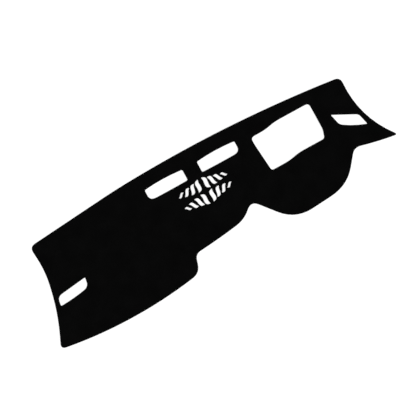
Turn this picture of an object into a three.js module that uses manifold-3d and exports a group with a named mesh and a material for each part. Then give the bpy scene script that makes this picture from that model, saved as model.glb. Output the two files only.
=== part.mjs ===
// Dashboard cover mat for a right-hand-drive car: one flat sheet of black pile fabric, cut to the dashboard's
// outline, with openings for the demister vents, the head-up display and the centre loudspeaker.
//
// Millimetres, +Z up. The sheet lies on its underside. +X runs to the driver's end and +Y to the windscreen,
// and the origin is under the middle of the sheet's bounding box.

import * as THREE from "three";
import { mergeVertices } from "three/addons/utils/BufferGeometryUtils.js";
import Module from "manifold-3d";

// Sheet
const matThickness = 4;
const rimRound = 1.6; // how far in from an edge its bound rim starts to curve down
const rimDrop = 1.3; // how far each face comes down over that width
const rimFacets = 2;

// Openings in a row behind the windscreen, from the middle of the two centre vents towards the driver
const ventGap = 61; // between the two centre vents
const ventLength = 161;
const ventWidth = 44.5;
const ventFrontBow = 4.5;
const ventRearBow = 1;
const ventRound = 6;
const ventOuterRearRound = 26;
const ventToWindow = 60;
const windowLength = 252;
const windowDepth = 145.5;
const windowRound = 10;
const windowBigRound = 16; // at its two front corners
const windowTaper = 10.5; // how much shorter the window is at each end along its rear edge
const windowTaperDepth = 34; // how far ahead of the rear edge the driver's end starts to taper
const windowJog = 10; // the passenger's part of the window stands this much further back
const windowJogRun = 43;
const windowJogRound = 30;
const windowFrontJogShift = 43; // from the window's middle towards the passenger
const windowRearJogShift = 17;
const openingSetback = 55; // from the windscreen edge to the centre vents and the window

// End vents, one near each end, each a leaning parallelogram
const endVentRound = 5;
const windowToDriverVent = 52;
const driverVentMargin = 24; // left between the vent and the end of the sheet
const driverVentLength = 106;
const driverVentWidth = 37;
const driverVentLean = 32; // its rear edge lies this much nearer the driver's end than its front edge
const driverVentTurn = -27.2; // degrees
const driverVentDepth = 154; // from the line through the two front corners to the vent's middle
const driverVentToTip = 136; // from there back to the depth of the sheet's rear corner at that end
const driverVentRearBow = 4;
const driverVentBigRound = 12;
const passengerVentMargin = 20;
const passengerVentLength = 126;
const passengerVentWidth = 36;
const passengerVentLean = 11;
const passengerVentTurn = 7; // degrees
const passengerVentDepth = 224;
const passengerVentRearBow = 3;
const passengerVentBigRound = 20;

// Loudspeaker grille: two rows of S-shaped slits, fanning out from its middle
const grilleGap = 15.3; // from the centre vents to the slits
const grilleShift = 7.8; // from the middle of the centre vents towards the driver
const slitLengths = [47.5, 42, 36, 26]; // from the innermost slit of a row out to either end
const slitWeb = 6.8; // of fabric between slits of the innermost one's width
const slitMiddleWeb = 14.6; // between the two innermost slits of a row
const slitRowWeb = 7.3; // between the two rows, at the innermost slits
const slitRowDip = 2.2; // how much nearer the other row a row's outer slits lie than its innermost ones
const slitTilt = 4.5; // degrees, of the innermost slits
const slitTiltStep = 15; // degrees, from one slit to the next one out
const slitRowSplay = 1.7; // degrees by which each row turns towards the other on the driver's side

// One half of a slit's S, as shares of its length from its middle. The other half is the same, turned round.
const slitTipShare = { x: -0.155, y: 0.52, round: 0.07 };
const slitShoulderShare = { x: 0.223, y: 0.357, round: 0.3 };
const slitWaistShare = { x: 0.12, y: -0.24, round: 0.042 };
const slitWidthShare = 0.367; // of its length, for the innermost one

// Outline. Depths run back from the line through the two front corners, and corners are given unrounded.
const windscreenBow = 21.5; // of the windscreen edge, from the driver's corner to its bend
const windscreenBendReach = 293; // from the middle of the centre vents, on the passenger's side
const windscreenBendRise = 33; // how far the bend lies ahead of the two front corners
const windscreenBendRound = 60;
const frontCornerRound = 24;
const passengerReach = 669.5; // from the middle of the centre vents to the passenger's front corner
const passengerTipSpread = 81; // how far the rear corner at that end stands out past the front one
const passengerSideInset = 7; // how far that side first comes in, from the front corner to its bend
const passengerBendDepth = 95;
const passengerBendRound = 45;
const passengerSideBow = 14; // from the bend to the rear corner
const passengerRearBow = 25.5;
const passengerRearRise = 1.5; // how far that rear edge comes forward from its tip to the step
const passengerTipRound = 22;
const stepReach = 159; // from the middle of the centre vents to the step in the rear edge
const stepRise = 69; // how far the rear edge comes forward at the step
const stepRun = 21;
const stepOuterRound = 32;
const stepInnerRound = 22;
const grilleToConsole = 138.6; // from the slits back to the rear edge along the centre console, at the step
const consoleRise = 26; // how far that edge comes forward from the step to the instrument hood
const consoleBow = 2.5;
const consoleBendRound = 40;
const hoodShift = 22; // from the window's middle towards the passenger to the middle of the instrument hood
const hoodMouth = 436;
const hoodNose = 230;
const hoodNoseShift = 13; // from the middle of the hood's mouth to the middle of its nose
const hoodLength = 141;
const hoodRootRise = 49; // how far the hood's passenger root lies ahead of the bend in the console edge
const hoodRootRun = 53;
const hoodRootRound = 34;
const hoodNoseRise = 18; // how far the nose comes forward from its passenger end to its driver end
const hoodNoseRound = 75;
const wingRootDrop = 9.5; // how far the hood's driver root lies behind its passenger root
const wingRootRound = 26;
const driverTipSpread = 87.5;
const driverSideBow = 32;
const driverRearBow = 3;
const driverTipRound = 14;

const cornerFacets = 7;
const longestFacet = 42; // along a bowed edge
const crossingSteps = 200; // along a bowed edge, for finding where it passes a depth
const roundingShare = 0.48; // the most of an edge that one corner's rounding may use up
const cutterOverrun = 5; // how far a slit's cutter stands out past each face

const fabric = new THREE.MeshStandardMaterial({ color: 0x0b0b0c, roughness: 0.97, metalness: 0 });

const wasm = await Module();
wasm.setup();

const at = (x, y) => new THREE.Vector2(x, y);

// The edge from one corner to another. A positive bow swells it to the right of its way, which is outwards on
// a loop that runs anticlockwise.
function bowedEdge(from, to, bow = 0) {
  const along = to.clone().sub(from);
  const aside = at(along.y, -along.x).normalize();
  const pull = from.clone().add(to).multiplyScalar(0.5).addScaledVector(aside, 2 * bow);
  return new THREE.QuadraticBezierCurve(from, pull, to);
}

// The x at which a side edge passes y.
function crossing(edge, y) {
  const points = edge.getPoints(crossingSteps);
  const next = points.findIndex((point, i) => i > 0 && (points[i - 1].y - y) * (point.y - y) <= 0);
  const [a, b] = [points[next - 1], points[next]];
  return THREE.MathUtils.mapLinear(y, a.y, b.y, a.x, b.x);
}

// A closed loop of points through corners { at, round, bow }, listed anticlockwise. Each corner is rounded
// from `round` before it to `round` after it, and `bow` belongs to the edge that leaves it.
function softLoop(corners) {
  const edges = corners.map((corner, i) => {
    const next = corners[(i + 1) % corners.length];
    const curve = bowedEdge(corner.at, next.at, corner.bow);
    const length = curve.getLength();
    return {
      curve,
      start: Math.min(corner.round / length, roundingShare),
      end: 1 - Math.min(next.round / length, roundingShare),
      facets: corner.bow ? Math.ceil(length / longestFacet) : 1,
    };
  });
  return edges.flatMap(({ curve, start, end, facets }, i) => {
    const before = edges.at(i - 1);
    const rounding = new THREE.QuadraticBezierCurve(
      before.curve.getPoint(before.end),
      corners[i].at,
      curve.getPoint(start),
    );
    const points = rounding.getPoints(cornerFacets);
    for (let facet = 1; facet < facets; facet++) {
      points.push(curve.getPoint(THREE.MathUtils.lerp(start, end, facet / facets)));
    }
    return points;
  });
}

// A loop mirrored end for end if asked, turned about its own origin and moved to x, y.
function placed(loop, { x, y, turn = 0, mirrored = false }) {
  const side = mirrored ? -1 : 1;
  const angle = THREE.MathUtils.degToRad(turn);
  const points = loop.map((point) => at(side * point.x, point.y));
  const moved = points.map((point) => point.rotateAround(at(0, 0), angle).add(at(x, y)));
  return mirrored ? moved.reverse() : moved;
}

// A loop's point that lies furthest towards the driver (side 1) or the passenger (side -1).
function outermost(loop, side) {
  return loop.reduce((best, point) => (side * point.x > side * best.x ? point : best));
}

// The driver's centre vent, from its end nearest the car's middle at x = 0. The rear corner at its other end is
// cut away in a large curve.
function centreVent() {
  const half = ventWidth / 2;
  return softLoop([
    { at: at(ventLength, half), round: ventRound, bow: ventFrontBow },
    { at: at(0, half), round: ventRound },
    { at: at(0, -half), round: ventRound, bow: ventRearBow },
    { at: at(ventLength, -half), round: ventOuterRearRound },
  ]);
}

// The head-up display's window, about the middle of its driver's part. Its front and rear edges jog, and its
// ends come in towards the rear.
function displayWindow() {
  const end = windowLength / 2;
  const front = windowDepth / 2;
  const run = windowJogRun / 2;
  const jogged = -windowJog;
  return softLoop([
    { at: at(end, front), round: windowBigRound },
    { at: at(run - windowFrontJogShift, front), round: windowJogRound },
    { at: at(-run - windowFrontJogShift, front + jogged), round: windowJogRound },
    { at: at(-end, front + jogged), round: windowBigRound },
    { at: at(-end, windowTaperDepth), round: windowRound },
    { at: at(windowTaper - end, jogged - front), round: windowRound },
    { at: at(-run - windowRearJogShift, jogged - front), round: windowJogRound },
    { at: at(run - windowRearJogShift, -front), round: windowJogRound },
    { at: at(end - windowTaper, -front), round: windowRound },
    { at: at(end, windowTaperDepth - front), round: windowRound },
  ]);
}

// An end vent about its own middle. A positive lean sets its front edge to the right of its rear edge, and two
// opposite corners have the big rounding.
function endVent({ length, width, lean, rearBow, bigRound }) {
  const [x, y, aside] = [length / 2, width / 2, lean / 2];
  const [frontRound, rearRound] = lean > 0 ? [endVentRound, bigRound] : [bigRound, endVentRound];
  return softLoop([
    { at: at(aside + x, y), round: frontRound },
    { at: at(aside - x, y), round: rearRound },
    { at: at(-aside - x, -y), round: frontRound, bow: rearBow },
    { at: at(-aside + x, -y), round: rearRound },
  ]);
}

// A slit about its own middle.
function slit(length) {
  const corner = ({ x, y, round }, half) => ({
    at: at(x, y).multiplyScalar(half * length),
    round: round * length,
  });
  const corners = [slitWaistShare, slitShoulderShare, slitTipShare];
  return softLoop([1, -1].flatMap((half) => corners.map((share) => corner(share, half))));
}

// All slits of the grille, about its middle.
function grilleSlits() {
  const width = slitWidthShare * slitLengths[0];
  const rowOffset = (slitLengths[0] + slitRowWeb) / 2;
  const slits = [];
  for (const row of [1, -1]) {
    for (const side of [1, -1]) {
      for (const [i, length] of slitLengths.entries()) {
        const upright = placed(slit(length), {
          x: side * ((slitMiddleWeb + width) / 2 + i * (width + slitWeb)),
          y: row * (i ? rowOffset - slitRowDip : rowOffset),
          turn: row * side * (slitTilt + i * slitTiltStep),
          mirrored: row * side < 0,
        });
        slits.push(placed(upright, { x: 0, y: 0, turn: -row * slitRowSplay }));
      }
    }
  }
  return slits;
}

// The layout, from the middle of the centre vents out to the two ends.
const windowStart = ventGap / 2 + ventLength + ventToWindow;
const windowMiddle = windowStart + windowLength / 2;

const driverVentLoop = endVent({
  length: driverVentLength,
  width: driverVentWidth,
  lean: -driverVentLean,
  rearBow: driverVentRearBow,
  bigRound: driverVentBigRound,
});
const driverVentTurned = placed(driverVentLoop, {
  x: 0,
  y: -driverVentDepth,
  turn: driverVentTurn,
});
const driverVent = placed(driverVentTurned, {
  x: windowStart + windowLength + windowToDriverVent - outermost(driverVentTurned, -1).x,
  y: 0,
});

const driverTipDepth = driverVentDepth + driverVentToTip;
const driverSide = bowedEdge(at(0, 0), at(driverTipSpread, -driverTipDepth), driverSideBow);
const driverVentEnd = outermost(driverVent, 1);
const driverReach = driverVentEnd.x + driverVentMargin - crossing(driverSide, driverVentEnd.y);

const driverCorner = at(driverReach, 0);
const passengerCorner = at(-passengerReach, 0);
const windscreenBend = at(-windscreenBendReach, windscreenBendRise);
const windscreenEdge = bowedEdge(driverCorner, windscreenBend, windscreenBow);
const behindWindscreen = (x) => {
  const share = (driverReach - x) / (driverReach + windscreenBendReach);
  return windscreenEdge.getPoint(share).y - openingSetback;
};

const ventMiddle = behindWindscreen((ventGap + ventLength) / 2) - ventFrontBow - ventWidth / 2;
const grilleHalf = slitLengths[0] + slitRowWeb / 2;
const grilleMiddle = ventMiddle - ventWidth / 2 - grilleGap - grilleHalf;

const consoleDepth = grilleHalf - grilleMiddle + grilleToConsole;
const stepDepth = consoleDepth + stepRise;
const passengerDepth = stepDepth + passengerRearRise;
const passengerTip = at(-passengerReach - passengerTipSpread, -passengerDepth);
const passengerBend = at(-passengerReach + passengerSideInset, -passengerBendDepth);
const passengerSide = bowedEdge(passengerBend, passengerTip, -passengerSideBow);
const passengerVentLoop = endVent({
  length: passengerVentLength,
  width: passengerVentWidth,
  lean: passengerVentLean,
  rearBow: passengerVentRearBow,
  bigRound: passengerVentBigRound,
});
const passengerVentTurned = placed(passengerVentLoop, {
  x: 0,
  y: -passengerVentDepth,
  turn: passengerVentTurn,
});
const passengerVentEnd = outermost(passengerVentTurned, -1);
const passengerVent = placed(passengerVentTurned, {
  x: crossing(passengerSide, passengerVentEnd.y) + passengerVentMargin - passengerVentEnd.x,
  y: 0,
});

// The sheet's outline, anticlockwise from the driver's front corner.
function matOutline() {
  const bendDepth = consoleDepth - consoleRise;
  const rootDepth = bendDepth - hoodRootRise;
  const noseDepth = rootDepth + hoodLength;
  const hoodMiddle = windowMiddle - hoodShift;
  const hoodStart = hoodMiddle - hoodMouth / 2;
  const noseStart = hoodMiddle + hoodNoseShift - hoodNose / 2;
  return softLoop([
    { at: driverCorner, round: frontCornerRound, bow: windscreenBow },
    { at: windscreenBend, round: windscreenBendRound },
    { at: passengerCorner, round: frontCornerRound },
    { at: passengerBend, round: passengerBendRound, bow: -passengerSideBow },
    { at: passengerTip, round: passengerTipRound, bow: passengerRearBow },
    { at: at(-stepReach, -stepDepth), round: stepOuterRound },
    { at: at(-stepReach + stepRun, -consoleDepth), round: stepInnerRound, bow: consoleBow },
    { at: at(hoodStart - hoodRootRun, -bendDepth), round: consoleBendRound },
    { at: at(hoodStart, -rootDepth), round: hoodRootRound },
    { at: at(noseStart, -noseDepth), round: hoodNoseRound },
    { at: at(noseStart + hoodNose, hoodNoseRise - noseDepth), round: hoodNoseRound },
    { at: at(hoodStart + hoodMouth, -rootDepth - wingRootDrop), round: wingRootRound, bow: driverRearBow },
    { at: at(driverReach + driverTipSpread, -driverTipDepth), round: driverTipRound, bow: -driverSideBow },
  ]);
}

// The sheet with its bound openings: a rounded rim runs round its outline and round each of them.
function boundSheet(outline, openings) {
  const shape = new THREE.Shape(outline);
  shape.holes = openings.map((opening) => new THREE.Path(opening));
  const drop = Math.min(rimDrop, roundingShare * matThickness);
  const sheet = new THREE.ExtrudeGeometry(shape, {
    depth: matThickness - 2 * drop,
    bevelThickness: drop,
    bevelSize: rimRound,
    bevelOffset: -rimRound,
    bevelSegments: rimFacets,
  });
  return sheet.translate(0, 0, drop);
}

// A prism that cuts one slit square through the sheet.
function slitCutter(loop) {
  const cutter = new THREE.ExtrudeGeometry(new THREE.Shape(loop), {
    depth: matThickness + 2 * cutterOverrun,
    bevelEnabled: false,
  });
  return cutter.translate(0, 0, -cutterOverrun);
}

function solidFrom(geometry) {
  const bare = geometry.clone();
  bare.deleteAttribute("normal");
  bare.deleteAttribute("uv");
  const merged = mergeVertices(bare);
  return new wasm.Manifold(
    new wasm.Mesh({
      numProp: 3,
      vertProperties: merged.attributes.position.array,
      triVerts: new Uint32Array(merged.index.array),
    }),
  );
}

function geometryFrom(solid) {
  const { vertProperties, triVerts } = solid.getMesh();
  const geometry = new THREE.BufferGeometry();
  geometry.setAttribute("position", new THREE.BufferAttribute(vertProperties, 3));
  geometry.setIndex(new THREE.BufferAttribute(triVerts, 1));
  geometry.computeVertexNormals();
  return geometry;
}

// Moves a geometry so that the origin is under the middle of its bounding box.
function stoodOnOrigin(geometry) {
  geometry.computeBoundingBox();
  const { min, max } = geometry.boundingBox;
  return geometry.translate(-(min.x + max.x) / 2, -(min.y + max.y) / 2, -min.z);
}

function dashMat() {
  const ventAt = { x: ventGap / 2, y: ventMiddle };
  const openings = [
    placed(centreVent(), ventAt),
    placed(centreVent(), { x: -ventAt.x, y: ventAt.y, mirrored: true }),
    placed(displayWindow(), { x: windowMiddle, y: behindWindscreen(windowMiddle) - windowDepth / 2 }),
    driverVent,
    passengerVent,
  ];
  let solid = solidFrom(boundSheet(matOutline(), openings));
  for (const loop of grilleSlits()) {
    solid = solid.subtract(solidFrom(slitCutter(placed(loop, { x: grilleShift, y: grilleMiddle }))));
  }
  const mesh = new THREE.Mesh(stoodOnOrigin(geometryFrom(solid)), fabric);
  mesh.name = "dash_mat";
  return mesh;
}

const part = new THREE.Group();
part.name = "dashboard_cover_mat";
part.add(dashMat());

export default part;
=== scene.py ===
import math

import bmesh
import bpy
import numpy as np
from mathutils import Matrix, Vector, noise
from mathutils.geometry import delaunay_2d_cdt
from mathutils.kdtree import KDTree


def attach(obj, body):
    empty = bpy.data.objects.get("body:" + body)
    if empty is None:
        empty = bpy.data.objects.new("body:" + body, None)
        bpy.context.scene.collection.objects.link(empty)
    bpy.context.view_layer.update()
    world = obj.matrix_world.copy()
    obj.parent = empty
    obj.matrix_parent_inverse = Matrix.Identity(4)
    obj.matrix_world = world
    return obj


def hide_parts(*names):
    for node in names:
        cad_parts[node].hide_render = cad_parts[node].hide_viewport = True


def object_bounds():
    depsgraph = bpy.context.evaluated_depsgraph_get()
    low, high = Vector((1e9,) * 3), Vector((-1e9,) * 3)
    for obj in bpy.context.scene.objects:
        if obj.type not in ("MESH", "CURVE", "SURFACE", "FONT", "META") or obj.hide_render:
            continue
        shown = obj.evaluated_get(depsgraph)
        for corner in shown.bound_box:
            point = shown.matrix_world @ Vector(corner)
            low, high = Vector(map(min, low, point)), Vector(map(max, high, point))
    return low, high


# Camera, straight above the mat
VIEW_WIDTH = 1.5568  # of the floor, across the picture
VIEW_CENTRE = (-0.0106, -0.0046)
MAT_TURN = math.radians(28.7)  # of the mat's length, up from the picture's horizontal
LENS = 85  # mm
SENSOR = 36  # mm

# Light, as shares of the level at which a colour renders as it is written
SKY_SHARE = 0.48
KEY = {"share": 0.46, "spread": 14, "towards": (-0.28, 0.12, 1)}
FILL = {"share": 0.12, "spread": 40, "towards": (0.7, -0.9, 1)}
FLOOR_REACH = 12
FLOOR_HEIGHT = -0.0002  # just clear of the underside
FLOOR_SHADE = 0.8
FLOOR_GLOW = 0.3  # only as the camera sees the floor, so that it comes out white

# Fabric
FIELD_SPACING = 0.005  # between the points of the fabric's open faces
BOUND_SPACING = 0.0035  # along a bound edge
CUT_SPACING = 0.00175  # along the edge of a slit
SAMPLE_SPACING = 0.001  # along all edges, for measuring how far a point is from them
ROW_KEEP = 0.97  # a row's point stays if it is at least this share of the row's distance from every edge
ROW_SLACK = 2e-5
FEWEST_POINTS = 12  # round an opening
LARGEST_SLIT = 0.002  # area, and a larger opening is bound
SAME_POINT = 1e-6
# Half of the fabric's thickness, as a share of its full half, at distances in from an edge
BOUND_PROFILE = [
    (0.0, 0.16), (0.00015, 0.42), (0.0005, 0.58), (0.0012, 0.68), (0.0022, 0.72), (0.0036, 0.70),
    (0.0050, 0.62), (0.0062, 0.80), (0.0080, 0.96), (0.0105, 1.0),
]
CUT_PROFILE = [(0.0, 0.78), (0.0003, 0.90), (0.0010, 0.98), (0.0022, 1.0)]
RIPPLE = 0.0024  # how high the fabric's slow ripples lift it
RIPPLE_LENGTH = 0.27
RIPPLE_BASE = 0.35  # higher, and less of the fabric lies on the floor
FINER_RIPPLE = {"times_as_many": 2.3, "height": 0.3}
RIPPLE_SEEDS = (3.7, 8.1)
LUMP = 0.00016  # height of the small unevenness of its top face
LUMP_LENGTH = 0.009
LUMP_SEED = 1.9
LUMP_INSET = 0.002  # how far in from an edge it starts

# Overlock stitching
STITCH_PITCH = 0.0028
STITCH_BITE = 0.0050  # from the edge in to the needle's line
STITCH_SLANT = 0.0013
STITCH_INSETS = [0.0052, 0.0046, 0.0036, 0.0022, 0.0011, 0.0004]
STITCH_DIP = 0.0004  # how far its ends go down into the fabric
THREAD = 0.0006  # diameter
STITCH_RISE = 0.35 * THREAD  # of a thread's middle above the fabric
STITCH_STAND = 0.25 * THREAD  # out past the rim, where it goes round
CHAIN_STAND = 0.45 * THREAD
NEEDLE_RISE = 0.4 * THREAD
NEEDLE_DIP = 0.5 * THREAD
THREAD_SIDES = 4
CHAIN_STEP = 0.0016
CHAIN_SWAY = 0.00028

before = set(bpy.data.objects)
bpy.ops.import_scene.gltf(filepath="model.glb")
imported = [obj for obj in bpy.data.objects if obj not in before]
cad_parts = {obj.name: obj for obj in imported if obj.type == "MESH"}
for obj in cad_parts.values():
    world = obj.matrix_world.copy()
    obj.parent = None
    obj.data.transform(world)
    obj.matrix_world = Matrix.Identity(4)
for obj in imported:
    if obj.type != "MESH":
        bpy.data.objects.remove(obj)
cad_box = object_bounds()
mat_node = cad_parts["dash_mat"]
middle_height = (cad_box[0][2] + cad_box[1][2]) / 2
half_thickness = (cad_box[1][2] - cad_box[0][2]) / 2


def add_camera():
    """A camera straight above the mat, turned so that the mat's length runs up to the right."""
    data = bpy.data.cameras.new("camera")
    data.lens = LENS
    data.sensor_width = SENSOR
    camera = bpy.data.objects.new("camera", data)
    camera.location = (*VIEW_CENTRE, VIEW_WIDTH * LENS / SENSOR)
    camera.rotation_euler = (0, 0, -MAT_TURN)
    bpy.context.scene.collection.objects.link(camera)
    bpy.context.scene.camera = camera


def loop_area(loop):
    x, y = loop[:, 0], loop[:, 1]
    return 0.5 * float(np.sum(x * np.roll(y, -1) - np.roll(x, -1) * y))


def outlines(node, height):
    """The node's outlines at one height: the outer one anticlockwise and each opening clockwise."""
    mesh = bmesh.new()
    mesh.from_mesh(node.data)
    bmesh.ops.remove_doubles(mesh, verts=mesh.verts[:], dist=SAME_POINT)
    everything = mesh.verts[:] + mesh.edges[:] + mesh.faces[:]
    cut = bmesh.ops.bisect_plane(mesh, geom=everything, plane_co=(0, 0, height), plane_no=(0, 0, 1))
    neighbours = {}
    for part in cut["geom_cut"]:
        if isinstance(part, bmesh.types.BMEdge):
            a, b = part.verts
            neighbours.setdefault(a, set()).add(b)
            neighbours.setdefault(b, set()).add(a)
    left = dict.fromkeys(sorted(neighbours, key=lambda vert: tuple(vert.co)))
    loops = []
    while left:
        loop, before, here = [], None, next(iter(left))
        while here in left:
            del left[here]
            loop.append(tuple(here.co[:2]))
            onward = [vert for vert in neighbours[here] if vert is not before]
            before, here = here, min(onward, key=lambda vert: tuple(vert.co))
        loops.append(np.array(loop))
    mesh.free()
    loops.sort(key=lambda loop: -abs(loop_area(loop)))
    return [loop if (loop_area(loop) > 0) == (i == 0) else loop[::-1] for i, loop in enumerate(loops)]


def resampled(loop, spacing):
    """A closed loop's points at an even spacing, and the direction into the fabric at each."""
    closed = np.vstack([loop, loop[:1]])
    lengths = np.linalg.norm(np.diff(closed, axis=0), axis=1)
    along = np.concatenate([[0], np.cumsum(lengths)])
    count = max(FEWEST_POINTS, round(along[-1] / spacing))
    stations = np.arange(count) * along[-1] / count
    points = np.stack([np.interp(stations, along, closed[:, axis]) for axis in range(2)], axis=1)
    ahead = np.roll(points, -1, axis=0) - np.roll(points, 1, axis=0)
    ahead /= np.linalg.norm(ahead, axis=1)[:, None]
    return points, np.stack([-ahead[:, 1], ahead[:, 0]], axis=1)


class Edges:
    """Tells how far in from the nearest edge a point of the fabric lies, and whether that edge is bound."""

    def __init__(self, loops):
        parts = [resampled(loop, SAMPLE_SPACING) for loop in loops]
        self.points = np.vstack([points for points, _ in parts])
        self.inward = np.vstack([inward for _, inward in parts])
        self.bound = [abs(loop_area(loop)) > LARGEST_SLIT for loop in loops]
        self.bound_at = np.repeat(self.bound, [len(points) for points, _ in parts])
        self.tree = KDTree(len(self.points))
        for i, (x, y) in enumerate(self.points):
            self.tree.insert((x, y, 0), i)
        self.tree.balance()

    def measure(self, x, y):
        _, i, distance = self.tree.find((x, y, 0))
        inside = (x - self.points[i, 0]) * self.inward[i, 0] + (y - self.points[i, 1]) * self.inward[i, 1]
        return math.copysign(distance, inside), bool(self.bound_at[i])


def edge_profile(bound):
    return BOUND_PROFILE if bound else CUT_PROFILE


def ripple(x, y):
    """How high the slow ripples of the laid fabric lift it at a place."""
    u, v = x / RIPPLE_LENGTH, y / RIPPLE_LENGTH
    finer = FINER_RIPPLE["times_as_many"]
    broad = noise.noise((u, v, RIPPLE_SEEDS[0]))
    narrow = noise.noise((u * finer, v * finer, RIPPLE_SEEDS[1]))
    return RIPPLE * max(0, RIPPLE_BASE + broad + FINER_RIPPLE["height"] * narrow)


def face_height(x, y, inset, bound, side):
    """The height of the fabric's top face (side 1), its underside (side -1) or its middle (side 0)."""
    distances, shares = zip(*edge_profile(bound))
    share = float(np.interp(inset, distances, shares))
    return middle_height + ripple(x, y) + side * half_thickness * share


def lump(x, y, inset):
    """How far the small unevenness of the top face lifts it at a place."""
    if inset <= LUMP_INSET:
        return 0
    return LUMP * noise.noise((x / LUMP_LENGTH, y / LUMP_LENGTH, LUMP_SEED))


def plan_points(loops, edges):
    """The fabric's points in plan, its outlines first, and the lines that join those outlines' points."""
    points, lines, rows = [], [], []
    for loop, bound in zip(loops, edges.bound):
        rim, inward = resampled(loop, BOUND_SPACING if bound else CUT_SPACING)
        first, count = len(points), len(rim)
        points.extend(map(tuple, rim))
        lines.extend((first + i, first + (i + 1) % count) for i in range(count))
        for inset, _ in edge_profile(bound)[1:]:
            row = map(tuple, rim + inward * inset)
            least = ROW_KEEP * inset - ROW_SLACK
            rows.extend(point for point in row if edges.measure(*point)[0] > least)
    points.extend(rows)
    low, high = loops[0].min(axis=0), loops[0].max(axis=0)
    for k, y in enumerate(np.arange(low[1], high[1], FIELD_SPACING * math.sqrt(3) / 2)):
        for x in np.arange(low[0] + (k % 2) * FIELD_SPACING / 2, high[0], FIELD_SPACING):
            inset, bound = edges.measure(x, y)
            if inset > edge_profile(bound)[-1][0] + FIELD_SPACING / 2:
                points.append((x, y))
    return points, lines


def fabric_mesh(loops, edges):
    """The fabric as a closed mesh: its top face, its underside and the narrow wall of each edge."""
    plan, lines = plan_points(loops, edges)
    vectors = [Vector(point) for point in plan]
    points, _, triangles, *_ = delaunay_2d_cdt(vectors, lines, [], 0, SAME_POINT / 10)
    top, under = [], []
    for x, y in points:
        inset, bound = edges.measure(x, y)
        top.append((x, y, face_height(x, y, inset, bound, 1) + lump(x, y, inset)))
        under.append((x, y, face_height(x, y, inset, bound, -1)))
    count = len(points)
    faces = []
    for a, b, c in triangles:
        x, y = (points[a] + points[b] + points[c]) / 3
        if edges.measure(x, y)[0] > 0:
            faces.append((a, b, c))
    sides = dict.fromkeys(pair for a, b, c in faces for pair in ((a, b), (b, c), (c, a)))
    walls = [(b, a, a + count, b + count) for a, b in sides if (b, a) not in sides]
    undersides = [(c + count, b + count, a + count) for a, b, c in faces]
    mesh = bpy.data.meshes.new("mat_fabric")
    mesh.from_pydata(top + under, [], faces + walls + undersides)
    slots = [0] * (len(faces) + len(walls)) + [1] * len(undersides)
    mesh.polygons.foreach_set("material_index", slots)
    mesh.shade_smooth()
    tidy = bmesh.new()
    tidy.from_mesh(mesh)
    bmesh.ops.delete(tidy, geom=[vert for vert in tidy.verts if not vert.link_faces], context="VERTS")
    tidy.to_mesh(mesh)
    tidy.free()
    return mesh


def add_tube(path, aside, closed, vertices, faces):
    """Adds a thread along a path to lists of vertices and faces. Aside is a direction across the path."""
    path = np.array(path)
    ahead = np.roll(path, -1, axis=0) - np.roll(path, 1, axis=0)
    if not closed:
        ahead[0], ahead[-1] = path[1] - path[0], path[-1] - path[-2]
    ahead /= np.linalg.norm(ahead, axis=1)[:, None]
    across = aside - ahead * np.sum(aside * ahead, axis=1)[:, None]
    across /= np.linalg.norm(across, axis=1)[:, None]
    other = np.cross(across, ahead)
    first, count = len(vertices), len(path)
    for k in range(THREAD_SIDES):
        angle = 2 * math.pi * (k + 0.5) / THREAD_SIDES
        ring = path + THREAD / 2 * (math.cos(angle) * across + math.sin(angle) * other)
        vertices.extend(map(tuple, ring))
        near, far = first + k * count, first + (k + 1) % THREAD_SIDES * count
        for i in range(count if closed else count - 1):
            j = (i + 1) % count
            faces.append((near + i, near + j, far + j, far + i))
    if not closed:
        start = [first + k * count for k in range(THREAD_SIDES)]
        faces.append(tuple(start))
        faces.append(tuple(corner + count - 1 for corner in reversed(start)))


def stitch_path(point, inward):
    """One thread of the overlock, from the needle's line on top to the same line underneath."""
    along = np.array([inward[1], -inward[0]])
    path = []
    for side in (1, -1):
        for inset in STITCH_INSETS[::side]:
            x, y = point + inward * inset + along * STITCH_SLANT * side * inset / STITCH_BITE
            rise = STITCH_RISE if inset < STITCH_BITE else -STITCH_DIP
            path.append((x, y, face_height(x, y, inset, True, side) + side * rise))
        if side > 0:
            x, y = point - inward * STITCH_STAND
            path.append((x, y, face_height(x, y, 0, True, 0)))
    return path


def chain_path(loop):
    """The chain of looped thread that runs along an edge's rim, and the directions in from it."""
    points, inward = resampled(loop, CHAIN_STEP)
    path = []
    for i, (x, y) in enumerate(points - inward * CHAIN_STAND):
        sway = CHAIN_SWAY if i % 4 < 2 else -CHAIN_SWAY
        path.append((x, y, face_height(x, y, 0, True, 0) + sway))
    return path, inward


def needle_path(loop, edges):
    """The needle's line of small stitches on top of the fabric, and the directions across it."""
    points, inward = resampled(loop, STITCH_PITCH / 2)
    path, across = [], []
    for i, ((x, y), way) in enumerate(zip(points + inward * STITCH_BITE, inward)):
        if edges.measure(x, y)[0] > ROW_KEEP * STITCH_BITE:
            rise = NEEDLE_RISE if i % 2 else -NEEDLE_DIP
            path.append((x, y, face_height(x, y, STITCH_BITE, True, 1) + rise))
            across.append(way)
    return path, np.array(across)


def level(directions):
    return np.pad(directions, ((0, 0), (0, 1)))


def stitched_edges(loops, edges, name):
    """Overlock stitching round each loop."""
    vertices, faces = [], []
    for loop in loops:
        for point, inward in zip(*resampled(loop, STITCH_PITCH)):
            aside = np.array([inward[1], -inward[0], 0])
            add_tube(stitch_path(point, inward), aside, False, vertices, faces)
        for path, aside in (chain_path(loop), needle_path(loop, edges)):
            add_tube(path, level(aside), True, vertices, faces)
    mesh = bpy.data.meshes.new(name)
    mesh.from_pydata(vertices, [], faces)
    mesh.shade_smooth()
    return mesh


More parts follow.
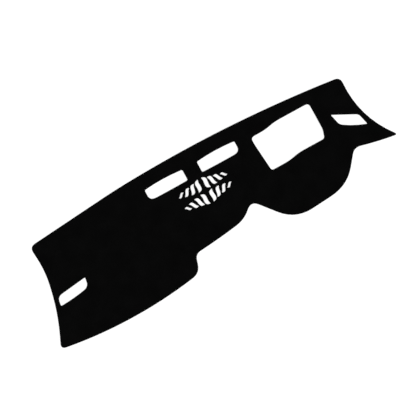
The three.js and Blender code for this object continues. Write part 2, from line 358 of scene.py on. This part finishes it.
class Nodes:
    """A short way of adding and joining the shader nodes of a material or the world."""

    def __init__(self, owner, shader="Principled BSDF"):
        self.owner = owner
        owner.use_nodes = True
        self.tree = owner.node_tree
        self.shader = self.tree.nodes[shader]

    def add(self, kind, inputs=(), **settings):
        node = self.tree.nodes.new(kind)
        for name, value in settings.items():
            setattr(node, name, value)
        for name, value in dict(inputs).items():
            if isinstance(value, bpy.types.NodeSocket):
                self.tree.links.new(value, node.inputs[name])
            else:
                node.inputs[name].default_value = value
        return node

    def to_shader(self, name, socket):
        self.tree.links.new(socket, self.shader.inputs[name])

    def bump(self, *layers):
        """Bumps the surface by layers of height, real distance and strength, the coarsest first."""
        normal = {}
        for height, distance, strength in layers:
            inputs = {"Height": height, "Distance": distance, "Strength": strength, **normal}
            normal = {"Normal": self.add("ShaderNodeBump", inputs).outputs[0]}
        self.to_shader("Normal", normal["Normal"])


def cloth_nodes(name, roughness, sheen):
    """A black cloth's material, with its plain values set on the shader."""
    nodes = Nodes(bpy.data.materials.new(name))
    nodes.shader.inputs["Roughness"].default_value = roughness
    nodes.shader.inputs["Specular IOR Level"].default_value = 0.02
    nodes.shader.inputs["Sheen Weight"].default_value = sheen
    nodes.shader.inputs["Sheen Roughness"].default_value = 0.26
    nodes.shader.inputs["Sheen Tint"].default_value = (0.24, 0.24, 0.25, 1)
    return nodes


def shade_between(nodes, factor, dark, light):
    ramp = nodes.add("ShaderNodeValToRGB", {"Fac": factor})
    for element, position, shade in zip(ramp.color_ramp.elements, (0.3, 0.7), (dark, light)):
        element.position = position
        element.color = (shade, shade, shade, 1)
    return ramp.outputs["Color"]


def pile_material():
    """Black short-pile fabric: fine fibres that lie a little differently from patch to patch."""
    nodes = cloth_nodes("pile_fabric", 1.0, 0.30)
    place = nodes.add("ShaderNodeTexCoord").outputs["Object"]
    stretched = nodes.add("ShaderNodeMapping", {"Vector": place, "Scale": (520, 1150, 700)}).outputs[0]
    fibres = nodes.add("ShaderNodeTexNoise", {"Vector": stretched, "Scale": 1.0, "Detail": 3.0})
    tufts = nodes.add("ShaderNodeTexVoronoi", {"Vector": place, "Scale": 620.0})
    nap = nodes.add("ShaderNodeTexNoise", {"Vector": place, "Scale": 14.0, "Detail": 4.0})
    speckle = nodes.add("ShaderNodeTexNoise", {"Vector": stretched, "Scale": 1.3, "Detail": 4.0})
    patches = shade_between(nodes, nap.outputs["Fac"], 0.0013, 0.0021)
    flecks = shade_between(nodes, speckle.outputs["Fac"], 0.55, 1.6)
    mixed = {0: 1.0, 6: patches, 7: flecks}
    colour = nodes.add("ShaderNodeMix", mixed, data_type="RGBA", blend_type="MULTIPLY")
    nodes.to_shader("Base Color", colour.outputs[2])
    nodes.bump((tufts.outputs["Distance"], 0.0008, 0.5), (fibres.outputs["Fac"], 0.0006, 0.7))
    return nodes.owner


def underside_material():
    """The fabric's plain underside, a fine flat knit."""
    nodes = cloth_nodes("pile_fabric_underside", 0.95, 0.06)
    place = nodes.add("ShaderNodeTexCoord").outputs["Object"]
    across = {"Vector": place, "Scale": 300.0, "Distortion": 0.6}
    along = {"Vector": place, "Scale": 210.0, "Distortion": 0.8}
    columns = nodes.add("ShaderNodeTexWave", across, bands_direction="X").outputs["Fac"]
    rows = nodes.add("ShaderNodeTexWave", along, bands_direction="Y").outputs["Fac"]
    knit = nodes.add("ShaderNodeMath", {0: rows, 1: columns}, operation="MULTIPLY")
    worn = nodes.add("ShaderNodeTexNoise", {"Vector": place, "Scale": 22.0, "Detail": 3.0})
    nodes.to_shader("Base Color", shade_between(nodes, worn.outputs["Fac"], 0.0024, 0.0038))
    nodes.bump((knit.outputs[0], 0.0004, 0.5))
    return nodes.owner


def thread_material():
    """Black spun polyester sewing thread."""
    nodes = cloth_nodes("edge_thread", 0.8, 0.12)
    place = nodes.add("ShaderNodeTexCoord").outputs["Object"]
    twist = nodes.add("ShaderNodeTexNoise", {"Vector": place, "Scale": 2600.0, "Detail": 2.0})
    runs = nodes.add("ShaderNodeTexNoise", {"Vector": place, "Scale": 90.0, "Detail": 2.0})
    nodes.to_shader("Base Color", shade_between(nodes, runs.outputs["Fac"], 0.0024, 0.0040))
    nodes.bump((twist.outputs["Fac"], 0.0002, 0.6))
    return nodes.owner


def add_piece(mesh, materials):
    piece = bpy.data.objects.new(mesh.name, mesh)
    bpy.context.scene.collection.objects.link(piece)
    for material in materials:
        mesh.materials.append(material)
    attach(piece, "root")
    return piece


def add_mat():
    """The mat's fabric, and the stitching round its outline and its bound openings."""
    loops = outlines(mat_node, middle_height)
    edges = Edges(loops)
    fabric = add_piece(fabric_mesh(loops, edges), [pile_material(), underside_material()])
    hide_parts("dash_mat")
    thread = thread_material()
    bound = [loop for loop, is_bound in zip(loops, edges.bound) if is_bound]
    outer = add_piece(stitched_edges(bound[:1], edges, "outline_stitching"), [thread])
    inner = add_piece(stitched_edges(bound[1:], edges, "opening_stitching"), [thread])


def seen(nodes):
    """1 for the camera, and for what shows in gloss or through glass, and 0 otherwise."""
    path = nodes.add("ShaderNodeLightPath").outputs
    rays = path["Is Camera Ray"]
    for name in ("Is Glossy Ray", "Is Transmission Ray"):
        rays = nodes.add("ShaderNodeMath", {0: rays, 1: path[name]}, operation="MAXIMUM").outputs[0]
    return rays


def add_floor():
    nodes = Nodes(bpy.data.materials.new("floor"))
    nodes.shader.inputs["Base Color"].default_value = (FLOOR_SHADE, FLOOR_SHADE, FLOOR_SHADE, 1)
    nodes.shader.inputs["Roughness"].default_value = 1.0
    nodes.shader.inputs["Specular IOR Level"].default_value = 0.0
    nodes.shader.inputs["Emission Color"].default_value = (1, 1, 1, 1)
    glow = nodes.add("ShaderNodeMath", {0: seen(nodes), 1: FLOOR_GLOW}, operation="MULTIPLY")
    nodes.to_shader("Emission Strength", glow.outputs[0])
    mesh = bpy.data.meshes.new("floor")
    signs = ((-1, -1), (1, -1), (1, 1), (-1, 1))
    corners = [(x * FLOOR_REACH, y * FLOOR_REACH, FLOOR_HEIGHT) for x, y in signs]
    mesh.from_pydata(corners, [], [(0, 1, 2, 3)])
    mesh.materials.append(nodes.owner)
    floor = bpy.data.objects.new("floor", mesh)
    bpy.context.scene.collection.objects.link(floor)


def add_sun(name, share, spread, towards):
    """A distant lamp, which gives a level surface its share of the light."""
    data = bpy.data.lights.new(name, "SUN")
    data.angle = math.radians(spread)
    towards = Vector(towards).normalized()
    data.energy = math.pi * share / towards.z
    lamp = bpy.data.objects.new(name, data)
    lamp.rotation_euler = towards.to_track_quat("Z", "Y").to_euler()
    bpy.context.scene.collection.objects.link(lamp)


def add_light():
    bpy.context.scene.world = bpy.data.worlds.new("world")
    nodes = Nodes(bpy.context.scene.world, "Background")
    nodes.shader.inputs["Color"].default_value = (1, 1, 1, 1)
    strength = {"Value": seen(nodes), "To Min": SKY_SHARE, "To Max": 1.0}
    nodes.to_shader("Strength", nodes.add("ShaderNodeMapRange", strength).outputs["Result"])
    add_sun("key", **KEY)
    add_sun("fill", **FILL)


bpy.context.scene.view_settings.view_transform = "Standard"
add_camera()
add_mat()
add_floor()
add_light()
